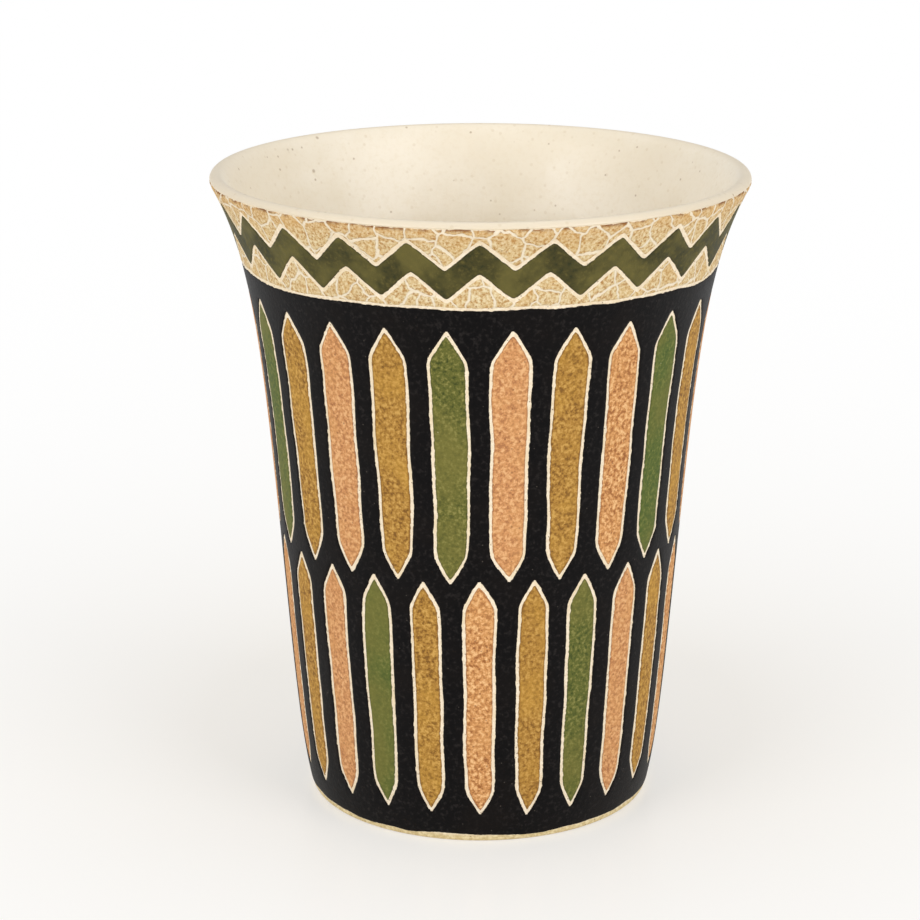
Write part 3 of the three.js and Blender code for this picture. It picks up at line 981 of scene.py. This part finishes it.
def ochre_finish():
    """Dry ochre, mottled and spotted, browner in some panels."""
    finish, tree, shader, place, lumps, fine, base = slip_base(
        "ochre_slip", OCHRE_SHADES, lump=0.0006, contrast=0.14
    )
    brownish = stained(tree, base, OCHRE_BROWN, tone_of(tree), strength=0.4)
    cloudy = clouded(tree, place, brownish, OCHRE_CLOUD, size=0.007, low=0.42, high=0.72, strength=0.45)
    spotted = speckled(
        tree, place, cloudy, OCHRE_SPOT, spacing=0.0014, radius=0.00024, chosen=0.35, strength=0.5
    )
    rim = rimmed(tree, spotted, OCHRE_RIM, fine, width=0.00035, strength=0.8)
    dressed(tree, shader, place, rim, lumps, fine, rough=0.68, gloss=0.25, depth=0.000012)
    return finish


def green_finish():
    """Matt green with long soft clouds and pale flecks, fresher in some panels."""
    finish, tree, shader, place, lumps, fine, base = slip_base(
        "green_slip", GREEN_SHADES, lump=0.0006, contrast=0.17
    )
    fresh = stained(tree, base, GREEN_FRESH, tone_of(tree), strength=0.7)
    cloudy = clouded(tree, place, fresh, GREEN_CLOUD, size=0.016, low=0.4, high=0.66, strength=0.6)
    flecked = speckled(
        tree, place, cloudy, GREEN_FLECK, spacing=0.0018, radius=0.00014, chosen=0.35, strength=0.6
    )
    rim = rimmed(tree, flecked, GREEN_RIM, fine, width=0.0003, strength=0.6)
    dressed(tree, shader, place, rim, lumps, fine, rough=0.66, gloss=0.2, depth=0.000015)
    return finish


panel_finishes = {"salmon": salmon_finish(), "ochre": ochre_finish(), "green": green_finish()}
panel_rows = [("lower", LOWER_BOTTOM, 0.0), ("upper", UPPER_BOTTOM, PITCH / 2)]
for row_number, (row_name, row_bottom, row_turn) in enumerate(panel_rows):
    for column in range(COLUMNS):
        shade = COLOUR_ORDER[(column + row_number * UPPER_START) % len(COLOUR_ORDER)]
        number = row_number * COLUMNS + column
        brushed(
            f"{shade}_slip_{row_name}_{column + 1:02d}", f"{shade}_panel_{row_name}_{column + 1:02d}",
            panel_sheet(f"panel_sheet_{number}", row_bottom), panel_finishes[shade],
            seed=FIRST_SEED + SEED_STEP * number, turn=column * PITCH + row_turn,
            tone=(number * TONE_STEP) % 1,
        )


# The studio
# A pale seamless floor that goes white away from the cup, two large soft lamps in front and one above,
# and an even pale room, seen from a little above the lip.

WHITE = (1.0, 1.0, 1.0, 1.0)
FLOOR_COLOUR = colour(247, 239, 223)
FLOOR_SIZE = 6.0
SHADOW_CENTRE = (0.0, 0.03, 0.0)
SHADOW_START = 0.05
SHADOW_FADE = 0.08
NEAR_WHITENESS = 0.52
LAMP_TARGET = (0.0, 0.0, 0.05)
ROOM_LIGHT = 0.54
CAMERA_PLACE = (0.0, -0.4733, 0.1979)
CAMERA_PITCH = 16.469
CAMERA_YAW = 0.41
CAMERA_LENS = 112.7
CAMERA_SENSOR = 36.0


def floor_finish():
    """A pale satin floor that shows the cup's shadow near it and white further off."""
    finish, tree, shader, place = new_finish("pale_floor")
    shader["Base Color"].default_value = FLOOR_COLOUR
    shader["Roughness"].default_value = 0.3
    shader["Specular IOR Level"].default_value = 0.5
    distance = put(tree, "ShaderNodeVectorMath", {0: place, 1: SHADOW_CENTRE}, operation="DISTANCE")["Value"]
    inwards = sums(tree, "SUBTRACT", SHADOW_START, distance)
    fade = sums(tree, "EXPONENT", sums(tree, "DIVIDE", inwards, SHADOW_FADE))
    path = put(tree, "ShaderNodeLightPath", {})
    mirrored = sums(tree, "MAXIMUM", path["Is Glossy Ray"], path["Is Transmission Ray"])
    seen = sums(tree, "MAXIMUM", path["Is Camera Ray"], mirrored)
    whiteness = between(tree, fade, low=1.0, high=NEAR_WHITENESS)
    share = sums(tree, "MULTIPLY", seen, whiteness)
    white = put(tree, "ShaderNodeEmission", {"Color": WHITE, "Strength": 1.0})[0]
    output = next(node for node in tree.nodes if node.type == "OUTPUT_MATERIAL").inputs["Surface"]
    lit = output.links[0].from_socket
    tree.links.new(put(tree, "ShaderNodeMixShader", {0: share, 1: lit, 2: white})[0], output)
    return finish


half = FLOOR_SIZE / 2
floor_corners = [(-half, -half, 0), (half, -half, 0), (half, half, 0), (-half, half, 0)]
floor_mesh = bpy.data.meshes.new("floor")
floor_mesh.from_pydata(floor_corners, [], [(0, 1, 2, 3)])
floor_mesh.materials.append(floor_finish())
floor = bpy.data.objects.new("floor", floor_mesh)
bpy.context.collection.objects.link(floor)


def soft_lamp(name, place, size, power):
    """A large square lamp that points at the cup."""
    lamp = bpy.data.lights.new(name, "AREA")
    lamp.shape = "SQUARE"
    lamp.size = size
    lamp.energy = power
    holder = bpy.data.objects.new(name, lamp)
    holder.location = place
    holder.rotation_euler = (Vector(LAMP_TARGET) - Vector(place)).to_track_quat("-Z", "Y").to_euler()
    bpy.context.collection.objects.link(holder)


soft_lamp("left_lamp", place=(-0.92, -0.80, 0.55), size=0.8, power=7.0)
soft_lamp("right_lamp", place=(0.94, -0.77, 0.54), size=0.8, power=7.25)
soft_lamp("top_lamp", place=(0.0, 0.3, 1.3), size=1.0, power=2.8)

world = bpy.data.worlds.new("pale_room")
world.use_nodes = True
room = world.node_tree
room.nodes.clear()
shown = put(room, "ShaderNodeBackground", {"Color": WHITE, "Strength": ROOM_LIGHT})[0]
put(room, "ShaderNodeOutputWorld", {"Surface": shown})
bpy.context.scene.world = world

camera = bpy.data.objects.new("camera", bpy.data.cameras.new("camera"))
camera.data.sensor_width = CAMERA_SENSOR
camera.data.lens = CAMERA_LENS
camera.location = CAMERA_PLACE
camera.rotation_euler = (math.radians(90 - CAMERA_PITCH), 0.0, math.radians(CAMERA_YAW))
bpy.context.collection.objects.link(camera)
bpy.context.scene.camera = camera
bpy.context.scene.view_settings.view_transform = "Standard"
